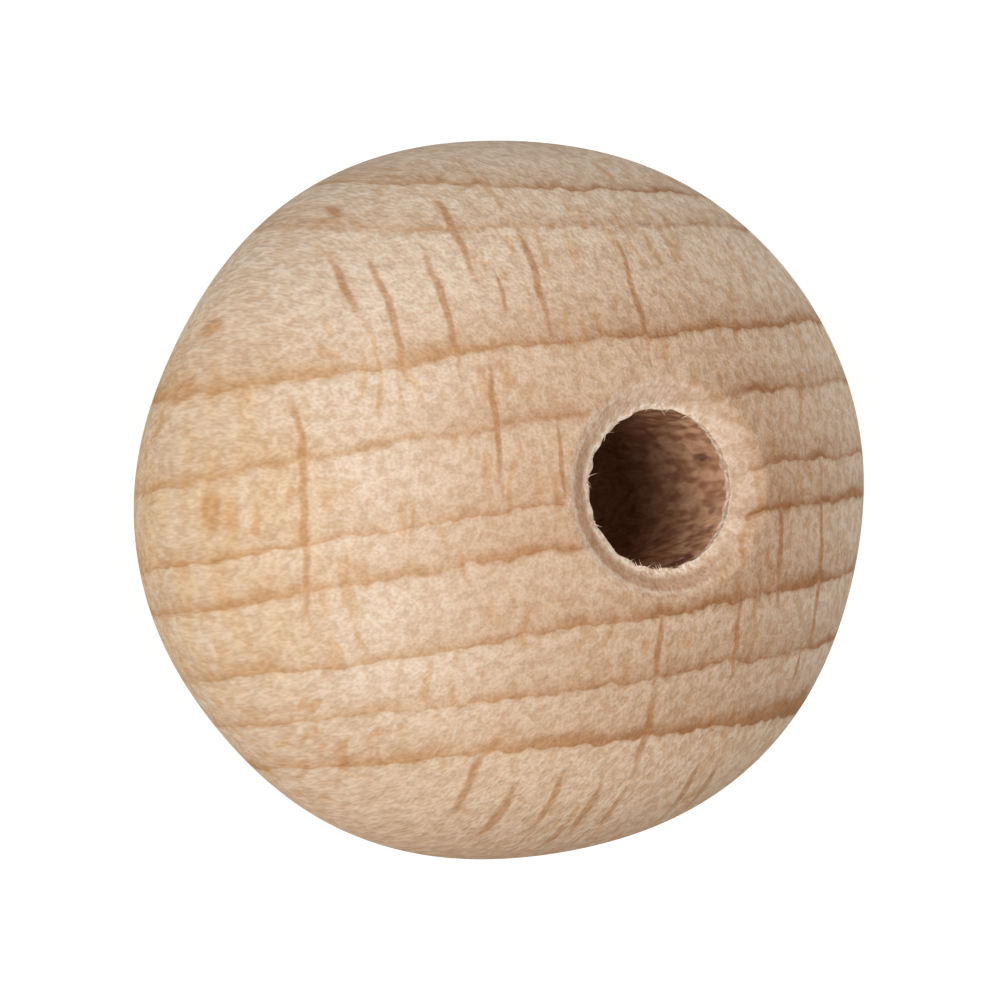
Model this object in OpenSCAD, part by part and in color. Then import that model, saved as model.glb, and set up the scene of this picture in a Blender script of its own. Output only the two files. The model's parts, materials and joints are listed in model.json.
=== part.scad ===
// Turned wooden ball with a hole drilled right through it along the grain.
// The hole stands upright on Z and the origin is the centre of the ball.
// The ball rests on the rounded lip round the lower end of its hole.
// All sizes are in millimetres.

/* [Ball] */
// Diameter that the ball is turned to
ball_d = 30; // [20:0.5:60]

/* [Bore] */
// Diameter of the hole drilled through the ball
bore_d = 6.5; // [3:0.1:9]

/* [Countersink] */
// Width of the sloping ring round each end of the hole, out from the bore's edge
sink_w = 1.2; // [0.4:0.1:2.5]
// Slope of that ring, in degrees up from square to the bore
sink_slope = 30; // [15:1:60]
// Radius that tumbling leaves on the lip between the ring and the ball
lip_r = 0.5; // [0.1:0.05:1.5]

/* [Hidden] */
$fn = 180;

// How far the cutting shapes reach past what they cut
cut_over = 1;
// The most of the sloping ring that the rounded lip may take up
lip_share = 0.8;
// How far the lip's arc stands out of the ball and the ring, so that it crosses them cleanly
lip_proud = 0.0005;

ball_r = ball_d / 2;
bore_r = bore_d / 2;

// Where the sloping ring would meet the ball if the lip between them were sharp
sharp_r = bore_r + sink_w;
sharp_z = sqrt(ball_r * ball_r - sharp_r * sharp_r);

// Where the sloping ring starts, at the bore's edge
sink_z = sharp_z - sink_w * tan(sink_slope);
sink_length = sink_w / cos(sink_slope);

// The lip is rounded as far as the ring leaves room for
lip_turn = sink_slope + asin(sharp_r / ball_r);
lip_round = min(lip_r, lip_share * sink_length / tan(lip_turn / 2));

// The centre of the lip's round in the plane of the section, which is lip_round inside
// the sloping ring and lip_round inside the ball, lip_along up the ring from the bore's edge
lip_base = [bore_r + lip_round * sin(sink_slope), sink_z - lip_round * cos(sink_slope)];
lip_reach = lip_base * [cos(sink_slope), sin(sink_slope)];
lip_along = sqrt(pow(lip_reach, 2) + pow(ball_r - lip_round, 2) - lip_base * lip_base) - lip_reach;
lip_at = lip_base + lip_along * [cos(sink_slope), sin(sink_slope)];

// The drilled hole, in section
module bore_section() {
    translate([-cut_over, -ball_r - cut_over])
        square([bore_r + cut_over, 2 * (ball_r + cut_over)]);
}

// The funnel of the upper countersink, in section, up to its sharp edge and beyond it
module sink_section() {
    over_z = ball_r + cut_over;
    over_r = bore_r + (over_z - sink_z) / tan(sink_slope);
    polygon([[-cut_over, sink_z], [bore_r, sink_z], [over_r, over_z], [-cut_over, over_z]]);
}

// What the round takes off the upper lip, in section: the corner outside the lip's arc,
// between the point where it leaves the sloping ring and the one where it meets the ball
module lip_section() {
    to_ring = 2 * lip_round * [-sin(sink_slope), cos(sink_slope)];
    to_ball = 2 * lip_round * lip_at / norm(lip_at);
    translate(lip_at) difference() {
        polygon([[0, 0], to_ring, to_ring + to_ball, to_ball]);
        circle(r = lip_round + lip_proud);
    }
}

// Half of the ball's section, on the right of the bore's axis
module ball_section() {
    difference() {
        circle(r = ball_r);
        translate([-ball_d, -ball_d]) square([ball_d, 2 * ball_d]);
        bore_section();
        for (end = [0, 1])
            mirror([0, end]) {
                sink_section();
                lip_section();
            }
    }
}

module ball() {
    color("burlywood") rotate_extrude() ball_section();
}

ball();
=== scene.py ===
# Dresses the drilled wooden ball: its turned and sanded surface, the beech it is cut
# from, the fibres torn at the mouths of its hole, a white floor, soft light and a camera
# that looks down on it as the photograph does.
# The fibres run along Z, the growth rings are crossed along X and the rays stand across Y.

import json
import math

import bpy
import numpy as np
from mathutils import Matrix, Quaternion, Vector


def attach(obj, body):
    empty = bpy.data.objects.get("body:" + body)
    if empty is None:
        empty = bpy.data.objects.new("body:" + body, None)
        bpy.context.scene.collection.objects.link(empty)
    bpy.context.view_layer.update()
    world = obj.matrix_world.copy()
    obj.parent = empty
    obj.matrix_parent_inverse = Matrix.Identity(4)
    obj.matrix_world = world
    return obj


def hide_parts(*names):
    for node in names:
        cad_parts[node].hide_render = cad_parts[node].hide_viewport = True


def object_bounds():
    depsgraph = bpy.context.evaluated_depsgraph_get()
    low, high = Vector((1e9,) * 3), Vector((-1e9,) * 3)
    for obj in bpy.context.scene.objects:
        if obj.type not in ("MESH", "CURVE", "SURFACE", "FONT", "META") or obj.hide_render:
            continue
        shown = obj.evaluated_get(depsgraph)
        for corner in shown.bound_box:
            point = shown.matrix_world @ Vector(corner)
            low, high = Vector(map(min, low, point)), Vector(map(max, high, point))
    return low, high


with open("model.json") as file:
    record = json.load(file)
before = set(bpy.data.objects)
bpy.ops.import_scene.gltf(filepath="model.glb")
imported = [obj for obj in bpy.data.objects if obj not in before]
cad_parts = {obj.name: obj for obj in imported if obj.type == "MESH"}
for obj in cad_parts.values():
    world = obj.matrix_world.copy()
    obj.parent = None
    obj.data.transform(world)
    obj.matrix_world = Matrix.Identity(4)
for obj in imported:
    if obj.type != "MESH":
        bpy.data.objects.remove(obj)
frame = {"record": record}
cad_low, cad_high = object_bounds()

MM = 0.001
BORE_R = frame["record"]["mounts"][0]["dims"]["r_mm"]
BORE_HALF = frame["record"]["mounts"][0]["dims"]["length_mm"] / 2
BALL_R = (cad_high - cad_low).x / 2 / MM
REST_Z = cad_low.z / MM

# The countersink as the solid has it: its slope, and its width and its lip's radius in mm
SINK_SLOPE = math.radians(30)
SINK_W = 1.2
LIP_R = 0.5

# How many faces the skin has round the bore, and how many rows of them lie on the upper
# half of its wall, on the sloping ring, on the lip and from there down to the equator
AROUND = 256
WALL_ROWS = 20
RING_ROWS = 12
LIP_ROWS = 8
OUTSIDE_ROWS = 60

# The notches that the drill tore out of each mouth and the burr that it raised, in mm: how
# much one unit of their waves takes or adds, and how soon both fade away from the edge
TEAR, TEAR_DOWN, TEAR_OUT = 0.12, 0.22, 0.12
BURR, BURR_FADE = 0.06, 0.12

# How far the drilled wall lies outside the drill's size, and how far it wanders, in mm
WALL_OUT = 0.03
WANDER = 0.02

# The loose fibres at each mouth. Each has rings of points at these shares of its length,
# and in a ring they stand at these angles
FIBRES = 120
FIBRE_SHARES = (0.0, 0.4, 0.75, 1.0)
FIBRE_ANGLES = (0, 2.1, 4.2)

# How much of the turned sphere sanding took off, as soft flats: the way each one faces,
# its depth in mm and its half-width in degrees
FLATS = [
    ((1.00, 0.10, 0.00), 0.42, 24),
    ((-1.00, 0.05, 0.10), 0.34, 22),
    ((-0.50, -0.74, -0.45), 0.34, 20),
    ((0.30, 0.85, 0.45), 0.26, 20),
    ((0.55, -0.70, -0.30), 0.16, 16),
    ((-0.60, 0.75, -0.30), 0.24, 22),
    ((0.60, 0.40, -0.70), 0.20, 20),
    ((-0.20, -0.75, 0.62), 0.12, 24),
]

# The flats fade out where the lip lies this far inside the sphere, in mm
FLAT_FADE = 0.25

# Growth rings crossed by the X axis: where each one ends in mm, how far before its end
# the wood begins to darken, and how dark its last line is
RINGS = [
    (-14.8, 1.4, 0.86),
    (-12.35, 1.2, 0.92),
    (-10.6, 1.4, 0.90),
    (-5.55, 2.2, 0.98),
    (-2.60, 1.6, 0.90),
    (0.60, 1.6, 0.90),
    (2.45, 1.8, 0.98),
    (5.45, 2.0, 0.94),
    (7.75, 1.8, 0.92),
    (9.90, 2.2, 1.00),
    (15.30, 3.2, 0.92),
]
RINGS_FROM, RINGS_TO = -17.0, 15.5

# How dark a ring is where it begins to darken, and how far to each side of its end the
# last line and the pale wood after it are, in mm
RING_FIRST = 0.12
RING_LAST = 0.08

# The broad rays on the side that the photograph shows, each a sheet as thin as a leaf:
# its half sizes along x, y and z in mm, and the middles of all the sheets of that size
RAYS = [
    ((4.4, 0.18, 3.3), [
        (-10.3, -6.60, 8.2),
        (-7.7, -9.60, 8.4),
        (-7.6, -7.88, 10.0),
        (-8.6, -4.37, 11.1),
        (-7.8, -0.51, 12.4),
    ]),
    ((3.0, 0.18, 2.2), [
        (-8.7, -10.54, 6.2),
    ]),
    ((6.4, 0.17, 1.25), [
        (-0.7, -12.81, 7.1),
    ]),
    ((4.4, 0.16, 1.0), [
        (-3.2, -6.90, 12.8),
    ]),
    ((1.9, 0.12, 0.9), [
        (-8.2, -5.81, 11.2),
        (-1.5, -4.68, 14.2),
        (7.7, 7.26, 10.5),
    ]),
    ((1.2, 0.25, 1.2), [
        (-7.7, -13.20, 0.3),
        (-11.8, -9.27, 3.0),
        (-0.3, -14.71, 3.0),
        (-4.9, -13.59, -1.8),
    ]),
    ((5.6, 0.19, 2.5), [
        (3.5, 7.92, 11.9),
    ]),
    ((3.3, 0.18, 1.4), [
        (2.8, 5.29, 13.6),
        (6.3, 3.17, 13.1),
        (6.3, -0.62, 13.5),
    ]),
    ((2.5, 0.22, 3.2), [
        (9.8, -0.47, 11.2),
        (11.4, -6.78, 7.4),
        (12.6, -5.17, 6.4),
        (12.3, -3.51, 7.9),
        (12.8, -1.78, 7.6),
        (12.3, 2.75, 7.9),
        (12.3, 3.92, 7.2),
    ]),
    ((1.7, 0.20, 2.4), [
        (12.8, -0.56, 7.9),
        (13.8, -2.31, 5.5),
    ]),
]


def srgb(red, green, blue):
    """A colour given as 0 to 255, in the linear light that shaders use."""
    out = []
    for value in (red, green, blue):
        share = value / 255
        out.append(share / 12.92 if share <= 0.04045 else ((share + 0.055) / 1.055) ** 2.4)
    return (*out, 1.0)


# Colours of the wood in plain light: between the rings, at their ends, where a ray is cut
# across or lies flat to the surface, on the countersink, where it is also painted light just
# inside the mouths, and on the burr
EARLY_WOOD = srgb(233, 213, 192)
LATE_WOOD = srgb(184, 139, 101)
LATE_WOOD_LEFT = srgb(198, 148, 92)
RAY_CUT = srgb(196, 148, 106)
RAY_FLAT = srgb(212, 164, 110)
RUBBED_AND_PAINTED_LIGHT = srgb(235, 214, 196)
BURR_PALE = srgb(246, 228, 208)

# Colours of the drilled wall: its strings, the painted shade that darkens them halfway in
# and the paler painted light beyond it, and the pits near the mouths
WALL_BROWN = srgb(160, 112, 82)
WALL_PALE = srgb(208, 164, 130)
WALL_PAINTED_SHADE = srgb(132, 90, 66)
WALL_PAINTED_LIGHT = srgb(224, 182, 148)
WALL_PIT = srgb(92, 48, 36)

# Tints that the wood is multiplied by: towards the bottom of the picture, in the ticks of
# fine rays, in golden patches, on end grain, beside the hole, as painted shade on the
# countersink's slope, and between the fibres
TINT_LOW = srgb(255, 245, 234)
TINT_TICK = srgb(247, 234, 218)
TINT_GOLDEN = srgb(252, 238, 214)
TINT_END = srgb(228, 213, 200)
TINT_BESIDE = srgb(232, 220, 212)
SLOPE_PAINTED_SHADE = srgb(217, 197, 181)
TINT_BETWEEN = (0.775, 0.665, 0.555, 1.0)

# Loose fibres, darkest and palest
FIBRE_BROWN = srgb(222, 188, 156)
FIBRE_PALE = srgb(248, 230, 210)

# The floor's own grey, and how much light it shows the camera on top
FLOOR_GREY = (0.5, 0.5, 0.5, 1)
FLOOR_GLOW = 0.68


def lip_places():
    """The lip's centre in the section, and the two ends of its arc as angles from level."""
    across, up = math.cos(SINK_SLOPE), math.sin(SINK_SLOPE)
    base = np.array([BORE_R + LIP_R * up, BORE_HALF - LIP_R * across])
    way = np.array([across, up])
    reach = float(base @ way)
    along = math.sqrt(reach**2 + (BALL_R - LIP_R) ** 2 - float(base @ base)) - reach
    centre = base + along * way
    return centre, math.pi / 2 + SINK_SLOPE, math.atan2(centre[1], centre[0])


def section():
    """The upper half of the ball's section, from the middle of the bore up over the lip
    and down the outside to the equator, as (r, z) in mm."""
    centre, ring_end, ball_end = lip_places()
    wall_steps = np.linspace(0, 1, WALL_ROWS + 1)[:-1]
    wall = [(BORE_R, BORE_HALF * (1 - (1 - t) ** 2)) for t in wall_steps]
    foot = np.array([BORE_R, BORE_HALF])
    top = centre + LIP_R * np.array([math.cos(ring_end), math.sin(ring_end)])
    ring = [tuple(foot + (top - foot) * t**1.5) for t in np.linspace(0, 1, RING_ROWS + 1)[:-1]]
    lip = [
        tuple(centre + LIP_R * np.array([math.cos(a), math.sin(a)]))
        for a in np.linspace(ring_end, ball_end, LIP_ROWS + 1)[:-1]
    ]
    outside = [
        (BALL_R * math.cos(a), BALL_R * math.sin(a))
        for a in np.linspace(ball_end, 0, OUTSIDE_ROWS + 1)
    ]
    return wall + ring + lip + outside


def waves(angle, seed, orders):
    """A smooth wandering value round the bore, about -1 to 1, from a few whole waves."""
    made = np.random.default_rng(seed)
    total = np.zeros_like(angle)
    for order in orders:
        total += made.normal() * np.cos(order * angle + made.uniform(0, 2 * math.pi))
    return total / math.sqrt(len(orders))


def turned_ball():
    """The ball as one closed skin: bore wall, countersinks, lips and the sanded outside."""
    upper = section()
    lower = [(r, -z) for r, z in reversed(upper[1:-1])]
    profile = np.array(upper + lower)
    rows = len(profile)
    angle = np.linspace(0, 2 * math.pi, AROUND, endpoint=False)
    r = np.repeat(profile[:, 0:1], AROUND, axis=1)
    z = np.repeat(profile[:, 1:2], AROUND, axis=1)
    turn = np.repeat(angle[None, :], rows, axis=0)

    # The drill tore small notches out of the edge of each mouth, and raised a low burr
    # between them
    for side, seed in ((1, 5), (-1, 6)):
        tear = np.maximum(waves(angle, seed, range(9, 60, 5)) - 0.7, 0) * TEAR
        burr = np.clip(waves(angle, seed + 40, range(2, 26, 3)) + 0.6, 0, 1.6) * BURR
        below = BORE_HALF - side * z
        out = np.maximum(r - BORE_R, 0)
        here = (side * z > 0) & (out < 1.5)
        r = r + tear * np.exp(-np.maximum(below, 0) / TEAR_DOWN - out / TEAR_OUT) * here
        rim = burr * np.exp(-((below / BURR_FADE) ** 2) - (out / BURR_FADE) ** 2) * here
        r, z = r - rim, z + side * rim

    # The wall that the drill left is a little uneven
    inside = (np.abs(z) < BORE_HALF) & (r < BORE_R + 0.4)
    wander = waves(angle, 3, range(2, 12))[None, :] * WANDER
    r = np.where(inside, r + np.maximum(wander + WALL_OUT, 0), r)

    place = np.stack([r * np.cos(turn), r * np.sin(turn), z], axis=-1)
    size = np.linalg.norm(place, axis=-1, keepdims=True)
    facing = place / size
    outside = np.clip((size - (BALL_R - FLAT_FADE)) / FLAT_FADE, 0, 1)
    for way, depth, width in FLATS:
        way = np.array(way) / np.linalg.norm(way)
        lean = np.degrees(np.arccos(np.clip(facing @ way, -1, 1)))[..., None]
        place = place - facing * outside * depth * np.exp(-((lean / width) ** 2))

    ids = np.arange(rows * AROUND).reshape(rows, AROUND)
    down, along = np.roll(ids, -1, axis=0), np.roll(ids, -1, axis=1)
    faces = np.stack([ids, along, np.roll(down, -1, axis=1), down], axis=-1).reshape(-1, 4)
    return mesh_object("turned_ball", place.reshape(-1, 3), faces.tolist())


def torn_fibres():
    """Short fibres that the drill pulled up round both mouths, each a thin curved spike."""
    made = np.random.default_rng(12)
    places, faces = [], []
    for side in (1, -1):
        for _ in range(FIBRES):
            around = made.uniform(0, 2 * math.pi)
            length = 0.14 + 0.46 * made.random() ** 2.5
            thick = made.uniform(0.020, 0.045)
            turn = made.choice([-1, 1]) * made.uniform(0.5, 1.0)
            inward = made.uniform(0.0, 1.0)
            lift = made.uniform(0.0, 0.5)
            out = np.array([math.cos(around), math.sin(around), 0])
            along = np.array([-math.sin(around), math.cos(around), 0])
            up = np.array([0, 0, side])
            root = out * (BORE_R + made.uniform(0.02, 0.10)) + up * (BORE_HALF - 0.01)
            first = len(places)
            for share in FIBRE_SHARES:
                reach = length * share
                centre = root + along * turn * reach - out * inward * reach * share
                centre = centre + up * (lift * reach * (1.4 - share) + 0.01)
                radius = thick * (1 - share) ** 0.7 + 0.001
                for corner in FIBRE_ANGLES:
                    side_way = out * math.cos(corner) + up * math.sin(corner)
                    places.append(centre + side_way * radius)
            last = len(places) - 1
            for ring in range(first, last - 2, 3):
                for corner in range(3):
                    a = ring + corner
                    b = ring + (corner + 1) % 3
                    faces.append((a, b, b + 3, a + 3))
            faces.append((first + 2, first + 1, first))
            faces.append((last - 2, last - 1, last))
    return mesh_object("torn_fibres", places, faces)


def mesh_object(name, places, faces):
    """A smooth-shaded mesh from points in mm."""
    mesh = bpy.data.meshes.new(name)
    mesh.from_pydata((np.asarray(places) * MM).tolist(), [], faces)
    mesh.validate()
    mesh.shade_smooth()
    piece = bpy.data.objects.new(name, mesh)
    bpy.context.scene.collection.objects.link(piece)
    return piece


class Nodes:
    """Builds one material's node tree, with each call returning the socket it makes."""

    def __init__(self, name):
        self.material = bpy.data.materials.new(name)
        self.material.use_nodes = True
        self.tree = self.material.node_tree
        self.tree.nodes.clear()

    def node(self, kind, **settings):
        made = self.tree.nodes.new(kind)
        for key, value in settings.items():
            setattr(made, key, value)
        return made

    def feed(self, socket, value):
        if isinstance(value, bpy.types.NodeSocket):
            self.tree.links.new(value, socket)
        elif value is not None:
            socket.default_value = value

    def maths(self, operation, a, b=None, c=None, clamp=False):
        made = self.node("ShaderNodeMath", operation=operation, use_clamp=clamp)
        for socket, value in zip(made.inputs, (a, b, c)):
            self.feed(socket, value)
        return made.outputs[0]

    def add(self, a, b):
        return self.maths("ADD", a, b)

    def less(self, a, b):
        return self.maths("SUBTRACT", a, b)

    def times(self, a, b):
        return self.maths("MULTIPLY", a, b)

    def fold(self, a, b, c):
        """a times b, plus c."""
        return self.maths("MULTIPLY_ADD", a, b, c)

    def absolute(self, a):
        return self.maths("ABSOLUTE", a)

    def vector(self, operation, a, b=None):
        made = self.node("ShaderNodeVectorMath", operation=operation)
        self.feed(made.inputs[0], a)
        self.feed(made.inputs[1], b)
        return made.outputs["Value" if operation in ("LENGTH", "DISTANCE") else "Vector"]

    def split(self, value):
        made = self.node("ShaderNodeSeparateXYZ")
        self.feed(made.inputs[0], value)
        return made.outputs

    def join(self, x, y, z):
        made = self.node("ShaderNodeCombineXYZ")
        for socket, value in zip(made.inputs, (x, y, z)):
            self.feed(socket, value)
        return made.outputs[0]

    def step(self, value, low, high, out_low=0.0, out_high=1.0):
        """A smooth change from out_low to out_high as value goes from low to high."""
        made = self.node("ShaderNodeMapRange", interpolation_type="SMOOTHSTEP")
        for socket, given in zip(made.inputs, (value, low, high, out_low, out_high)):
            self.feed(socket, given)
        return made.outputs[0]

    def noise(self, where, scale, detail, rough=0.5):
        """Even noise from 0 to 1. scale is in waves per mm, one number for each axis."""
        made = self.node("ShaderNodeTexNoise")
        self.feed(made.inputs["Vector"], self.vector("MULTIPLY", where, scale))
        made.inputs["Scale"].default_value = 1.0
        made.inputs["Detail"].default_value = detail
        made.inputs["Roughness"].default_value = rough
        return made.outputs["Fac"]

    def mix(self, share, a, b, blend="MIX"):
        made = self.node("ShaderNodeMix", data_type="RGBA", blend_type=blend)
        self.feed(made.inputs[0], share)
        self.feed(made.inputs[6], a)
        self.feed(made.inputs[7], b)
        return made.outputs[2]

    def ramp(self, value, stops):
        made = self.node("ShaderNodeValToRGB")
        self.feed(made.inputs[0], value)
        points = made.color_ramp.elements
        while len(points) < len(stops):
            points.new(0.5)
        for point, (at, grey) in zip(points, stops):
            point.position = at
            point.color = (grey, grey, grey, 1)
        return made.outputs[0]


def ring_stops():
    """How near the wood is to the end of its ring, as stops of a ramp from 0 to 1."""
    reach = RINGS_TO - RINGS_FROM
    stops = []
    for end, fade, line in RINGS:
        at = (end - RINGS_FROM) / reach
        stops.append((at - fade / reach, RING_FIRST))
        stops.append((at - RING_LAST / reach, line))
        stops.append((at + RING_LAST / reach, 0.0))

    # A ramp holds 32 stops, and the first one lies outside the ball
    return stops[1:]


def ray_cells(n, across, along, cell, half, seed):
    """Rays scattered over cells, as sheets that run on along X. half is about half their
    thickness and half their height along the fibres, and cell their spacing, in mm.
    Returns a mask and how strongly each ray shows."""
    shifted = n.vector("ADD", n.join(across, along, 0.0), (seed, seed * 1.7, 0.0))
    scaled = n.vector("DIVIDE", shifted, (*cell, 1.0))
    cells = n.node("ShaderNodeTexVoronoi", voronoi_dimensions="2D")
    cells.inputs["Scale"].default_value = 1.0
    cells.inputs["Randomness"].default_value = 0.85
    n.feed(cells.inputs["Vector"], scaled)
    off = n.vector("SUBTRACT", scaled, cells.outputs["Position"])
    off_across, off_along = n.split(off)[:2]
    strength, length = n.split(cells.outputs["Color"])[:2]
    off_along = n.maths("DIVIDE", n.times(off_along, cell[1] / half[1]), n.fold(length, 0.8, 0.5))
    room = n.maths("SUBTRACT", 1.0, n.times(off_along, off_along), clamp=True)
    width = n.times(room, n.fold(strength, 0.6, 0.5))
    thin = n.less(width, n.times(n.absolute(off_across), cell[0] / half[0]))
    return n.step(thin, -0.15, 0.45), strength


def drawn_rays(n, where):
    """The rays of the list, as one mask that fades towards their edges."""
    nearest = 9.0
    for half, middles in RAYS:
        scaled = n.vector("DIVIDE", where, half)
        for middle in middles:
            centre = [at / size for at, size in zip(middle, half)]
            nearest = n.maths("MINIMUM", nearest, n.vector("DISTANCE", scaled, centre))
    return n.step(nearest, 1.05, 0.40)


def beech(name):
    """Sanded, unfinished beech, from its place in the ball and the way it faces, with light and
    shade painted in on the countersink and the bore wall.
    """
    n = Nodes(name)
    coords = n.node("ShaderNodeTexCoord")
    place = n.vector("MULTIPLY", coords.outputs["Object"], (1 / MM, 1 / MM, 1 / MM))
    x, y, z = n.split(place)
    face_y, face_z = [n.absolute(part) for part in n.split(coords.outputs["Normal"])][1:]

    # Fine grain: fibres, and the knots and clouds between them
    fibre = n.noise(place, (9.0, 9.0, 1.6), 0.0)
    speck = n.noise(place, (2.5, 2.5, 1.1), 1.0, 0.6)
    cloud = n.noise(place, (1.3, 1.3, 0.6), 0.0)

    # Growth rings, almost flat across the ball, turned a little from X and less so
    # towards the top and the bottom of the picture
    turn_y = n.less(0.095, n.times(n.maths("POWER", n.less(x, 2.5), 2.0), 0.0009))
    turn_z = n.less(0.048, n.times(n.maths("POWER", n.add(x, 1.0), 2.0), 0.0005))
    ring = n.add(x, n.fold(y, turn_y, n.times(z, turn_z)))
    ring = n.fold(n.less(n.noise(place, (0.28, 0.28, 0.09), 0.0), 0.5), 0.45, ring)
    ring = n.fold(n.less(n.noise(place, (0.8, 0.8, 0.3), 0.0), 0.5), 0.30, ring)
    ring = n.fold(n.less(n.noise(place, (2.4, 2.4, 0.8), 0.0), 0.5), 0.28, ring)

    # Rays fan out a little across the ball, and bend. The drawn ones are on the side that
    # the picture shows, and the scattered ones everywhere else
    lean = n.noise(place, (0.25, 0.25, 0.10), 0.0)
    wriggle = n.times(n.less(n.noise(place, (0.9, 0.9, 0.5), 0.0), 0.5), 0.26)
    ray_y = n.fold(n.times(x, x), -0.0055, n.fold(x, 0.02, y))
    ray_y = n.add(ray_y, wriggle)
    bent_y = n.fold(n.less(lean, 0.5), 1.6, ray_y)
    photographed = n.step(n.fold(z, 0.88, n.times(y, -0.48)), -1.0, 3.0)
    scattered, strength = ray_cells(n, bent_y, z, (1.3, 3.4), (0.11, 1.4), 3.0)
    scattered = n.times(scattered, n.fold(strength, 0.6, 0.3))
    drawn = drawn_rays(n, n.join(x, ray_y, z))
    broad = n.mix(photographed, scattered, drawn)
    fine, strength = ray_cells(n, bent_y, z, (0.62, 1.3), (0.05, 0.5), 11.0)
    fine = n.times(fine, n.times(n.fold(strength, 0.45, 0.0), n.fold(photographed, -0.7, 1.0)))
    ring = n.fold(broad, 0.10, ring)

    # How near the wood is to its ring's end, in patches, and how brown that makes it
    share = n.node("ShaderNodeMapRange")
    for socket, given in zip(share.inputs, (ring, RINGS_FROM, RINGS_TO, 0.0, 1.0)):
        n.feed(socket, given)
    near_end = n.ramp(share.outputs[0], ring_stops())
    patchy = n.noise(place, (0.4, 0.4, 0.16), 0.0)
    near_end = n.times(near_end, n.fold(patchy, 0.40, 0.80))
    slow = n.times(n.maths("POWER", near_end, 1.5), 0.46)
    late = n.fold(n.step(near_end, 0.70, 0.96), 0.42, slow)
    late = n.times(late, n.step(y, -13.0, 8.0, 0.78, 1.25))

    # The ends of the rings are more golden on the left of the picture
    late_shade = n.mix(n.step(y, -11.0, 1.0), LATE_WOOD_LEFT, LATE_WOOD)
    wood = n.mix(late, EARLY_WOOD, late_shade)
    wood = n.mix(n.step(x, 5.0, 13.0), wood, TINT_LOW, "MULTIPLY")

    # Faint ticks of the finest rays, in patches
    tick = n.noise(n.join(x, bent_y, z), (0.45, 3.0, 0.6), 0.0)
    tick = n.times(n.step(tick, 0.52, 0.72), n.step(patchy, 0.52, 0.36))
    wood = n.mix(tick, wood, TINT_TICK, "MULTIPLY")

    # Flat to the surface a ray is a golden flake, and edge-on a brown line
    flake = n.step(face_y, 0.72, 0.98)
    ray_shade = n.mix(flake, RAY_CUT, RAY_FLAT)
    golden = n.step(n.noise(place, (0.45, 0.5, 0.8), 0.0), 0.34, 0.72, 0.4, 0.9)
    wood = n.mix(n.times(flake, golden), wood, TINT_GOLDEN, "MULTIPLY")
    wood = n.mix(n.times(broad, 0.74), wood, ray_shade)
    wood = n.mix(fine, wood, ray_shade)

    # End grain drinks in more light, also beside the hole on its right
    off_axis = n.vector("LENGTH", n.join(x, y, 0.0))
    ends = n.step(face_z, 0.60, 0.95)
    wood = n.mix(n.times(ends, 0.80), wood, TINT_END, "MULTIPLY")
    beside = n.times(n.step(off_axis, BORE_R + 4.5, BORE_R + 1.5), n.step(y, 1.0, 5.0))
    wood = n.mix(n.times(beside, 0.5), wood, TINT_BESIDE, "MULTIPLY")

    # The countersink is rubbed pale, with a faint browner band on its slope that is painted
    # shade at the left and below, and painted light on the wall just inside each mouth. The
    # edge of the bore is worn on the right
    worn = n.step(y, 0.5, 3.2, 0.0, 0.35)
    ring_edge = n.add(n.fold(cloud, 0.7, off_axis), worn)
    rubbed = n.step(ring_edge, BORE_R + SINK_W + 0.45, BORE_R + SINK_W + 0.15)
    # Painted light: just inside each mouth the pale share rises from 0.58 to 0.85, lightening the
    # wall over its shade
    pale = n.times(rubbed, n.step(off_axis, BORE_R + 0.1, BORE_R, 0.58, 0.85))
    wood = n.mix(pale, wood, RUBBED_AND_PAINTED_LIGHT)
    # Painted shade: a faint browner band round the slope, made much darker at the left and below,
    # where the slope faces away from the light
    slope = n.step(n.absolute(n.less(off_axis, BORE_R + 0.6)), 0.40, 0.15)
    slope = n.times(slope, n.step(n.less(y, x), 1.5, -3.5, 0.15, 0.9))
    wood = n.mix(slope, wood, SLOPE_PAINTED_SHADE, "MULTIPLY")

    # Fine grain darkens the wood between its fibres, and less so on the left
    strongest = n.step(y, -10.0, 6.0, 0.44, 0.60)
    wood = n.mix(n.step(fibre, 0.68, 0.32, 0.0, 0.45), wood, TINT_BETWEEN, "MULTIPLY")
    wood = n.mix(n.step(speck, 0.57, 0.40, 0.0, strongest), wood, TINT_BETWEEN, "MULTIPLY")
    wood = n.mix(n.step(cloud, 0.70, 0.30, 0.0, 0.16), wood, TINT_BETWEEN, "MULTIPLY")

    # The bore is darker and stringy, and its edge carries a pale broken burr
    string = n.noise(place, (2.6, 2.6, 0.7), 1.0, 0.65)
    below = n.less(n.less(BORE_HALF, n.absolute(z)), worn)
    in_bore = n.step(n.fold(speck, 1.6, below), 0.70, 1.00)
    drilled = n.times(n.step(off_axis, BORE_R + 0.2, BORE_R + 0.1), in_bore)
    wall = n.mix(n.step(string, 0.34, 0.66), WALL_BROWN, WALL_PALE)
    # Painted shade: the wall darkens from 2.5 mm to 7 mm into the bore
    wall = n.mix(n.step(below, 2.5, 7.0, 0.0, 0.55), wall, WALL_PAINTED_SHADE)
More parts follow.
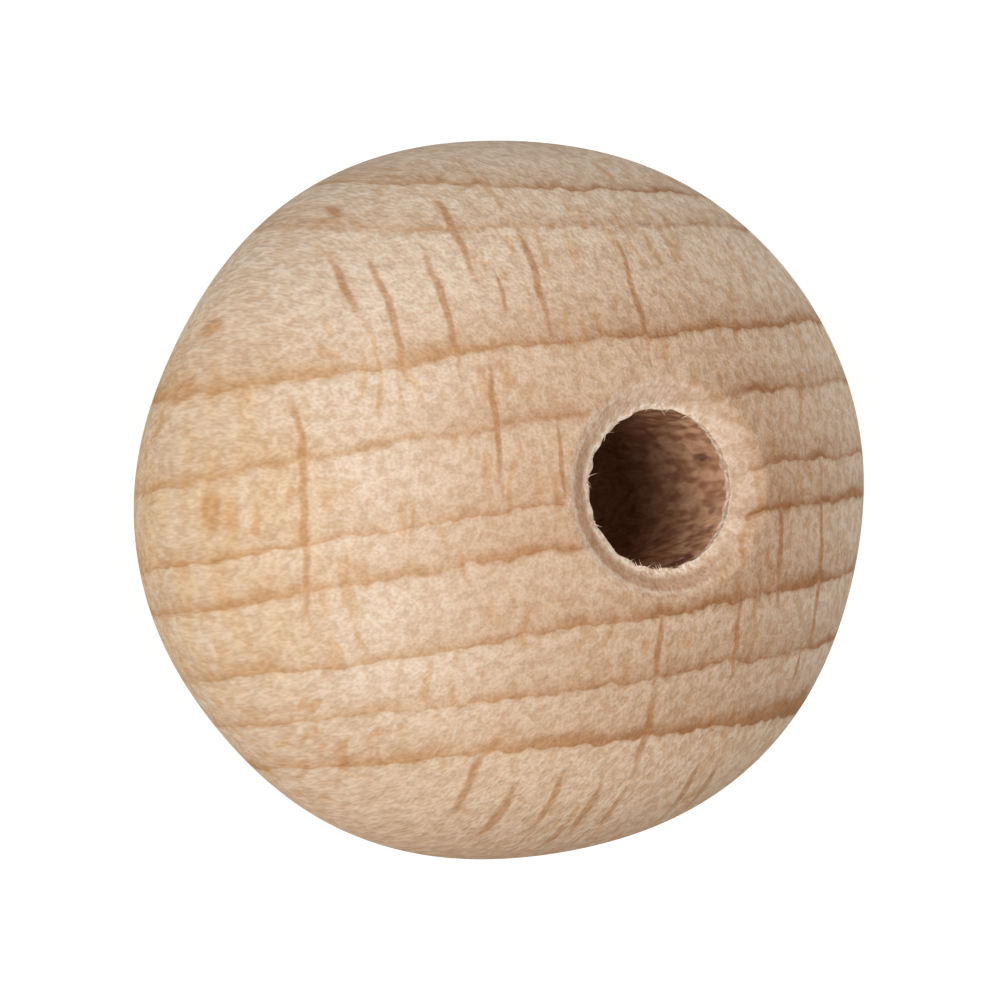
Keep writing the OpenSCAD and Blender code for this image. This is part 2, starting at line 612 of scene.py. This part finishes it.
    # Painted light: further in, from 7.5 mm to 12 mm, the wall turns pale again
    wall = n.mix(n.step(below, 7.5, 12.0, 0.0, 0.9), wall, WALL_PAINTED_LIGHT)
    pits = n.times(n.step(cloud, 0.62, 0.70), n.step(below, 3.0, 1.5))
    wall = n.mix(n.times(pits, 0.8), wall, WALL_PIT)
    wood = n.mix(n.times(drilled, 0.95), wood, wall)
    torn_below = n.fold(n.less(speck, 0.5), 0.8, below)
    edge = n.vector("LENGTH", n.join(n.less(off_axis, BORE_R + 0.06), torn_below, 0.0))
    burr = n.times(n.step(edge, 0.22, 0.08), n.step(speck, 0.36, 0.56))
    wood = n.mix(n.times(burr, 0.65), wood, BURR_PALE)

    # Relief in mm, with the marks of the countersink's cutter round the mouths
    height = n.times(fibre, 0.03)
    height = n.fold(n.times(speck, n.fold(drilled, 1.0, 1.0)), 0.13, height)
    cut = n.maths("SINE", n.fold(off_axis, 21.0, n.times(speck, 5.0)))
    height = n.fold(n.times(cut, rubbed), 0.004, height)
    bump = n.node("ShaderNodeBump")
    bump.inputs["Strength"].default_value = 0.8
    bump.inputs["Distance"].default_value = MM
    n.feed(bump.inputs["Height"], height)

    shader = n.node("ShaderNodeBsdfPrincipled")
    n.feed(shader.inputs["Base Color"], wood)
    n.feed(shader.inputs["Roughness"], n.fold(fibre, 0.2, 0.55))
    n.feed(shader.inputs["Normal"], bump.outputs[0])
    shader.inputs["Specular IOR Level"].default_value = 0.08
    out = n.node("ShaderNodeOutputMaterial")
    n.feed(out.inputs["Surface"], shader.outputs[0])
    return n.material


def fibre_material():
    """Loose beech fibres, paler than the wood that they were torn from."""
    n = Nodes("beech_fibres")
    coords = n.node("ShaderNodeTexCoord")
    place = n.vector("MULTIPLY", coords.outputs["Object"], (1 / MM, 1 / MM, 1 / MM))
    streak = n.noise(place, (6.0, 6.0, 6.0), 1.0)
    shader = n.node("ShaderNodeBsdfPrincipled")
    tone = n.mix(n.step(streak, 0.3, 0.7), FIBRE_BROWN, FIBRE_PALE)
    n.feed(shader.inputs["Base Color"], tone)
    shader.inputs["Roughness"].default_value = 0.6
    out = n.node("ShaderNodeOutputMaterial")
    n.feed(out.inputs["Surface"], shader.outputs[0])
    return n.material


def floor_material():
    """White for the camera, and a plain pale floor for the light, which keeps the shadow."""
    n = Nodes("floor_white")
    shader = n.node("ShaderNodeBsdfDiffuse")
    shader.inputs["Color"].default_value = FLOOR_GREY
    glow = n.node("ShaderNodeEmission")
    path = n.node("ShaderNodeLightPath")
    n.feed(glow.inputs["Strength"], n.times(path.outputs["Is Camera Ray"], FLOOR_GLOW))
    both = n.node("ShaderNodeAddShader")
    n.feed(both.inputs[0], shader.outputs[0])
    n.feed(both.inputs[1], glow.outputs[0])
    out = n.node("ShaderNodeOutputMaterial")
    n.feed(out.inputs["Surface"], both.outputs[0])
    return n.material


ball = turned_ball()
ball.data.materials.append(beech("beech"))
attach(ball, "root")
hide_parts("ball")

fibres = torn_fibres()
fibres.data.materials.append(fibre_material())
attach(fibres, "root")

FLOOR_HALF = 0.6
corners = [(-1, -1, 0), (1, -1, 0), (1, 1, 0), (-1, 1, 0)]
floor = mesh_object("floor", np.array(corners) * FLOOR_HALF / MM + (0, 0, REST_Z), [(0, 1, 2, 3)])
floor.data.materials.append(floor_material())

ELEVATION = math.radians(62)
ROLL = math.radians(86)
DISTANCE = 0.68
back = Vector((0, -math.cos(ELEVATION), math.sin(ELEVATION)))
camera = bpy.data.objects.new("camera", bpy.data.cameras.new("camera"))
bpy.context.scene.collection.objects.link(camera)
camera.data.sensor_width = 36
camera.data.lens = 600
camera.data.clip_start = 0.01
camera.rotation_mode = "QUATERNION"
looking = (-back).to_track_quat("-Z", "Y") @ Quaternion((0, 0, 1), ROLL)
camera.rotation_quaternion = looking
camera.location = back * DISTANCE
bpy.context.scene.camera = camera


def softbox(name, towards, distance, width, watts, colour):
    """A square area light placed as the picture is seen: right, up and towards the camera."""
    data = bpy.data.lights.new(name, "AREA")
    data.shape = "SQUARE"
    data.size = width
    data.energy = watts
    data.color = colour
    lamp = bpy.data.objects.new(name, data)
    bpy.context.scene.collection.objects.link(lamp)
    way = looking @ Vector(towards).normalized()
    lamp.location = way * distance
    lamp.rotation_mode = "QUATERNION"
    lamp.rotation_quaternion = way.to_track_quat("Z", "Y")


softbox("key", (-0.43, -0.14, 0.89), 0.5, 0.36, 1.72, (1.0, 0.99, 0.97))
softbox("fill", (0.8, 0.3, 0.55), 0.9, 0.5, 2.0, (1.0, 1.0, 1.0))

world = bpy.data.worlds.new("studio")
bpy.context.scene.world = world
world.use_nodes = True
world.node_tree.nodes["Background"].inputs["Color"].default_value = (1, 1, 1, 1)
world.node_tree.nodes["Background"].inputs["Strength"].default_value = 0.48
bpy.context.scene.view_settings.view_transform = "Standard"
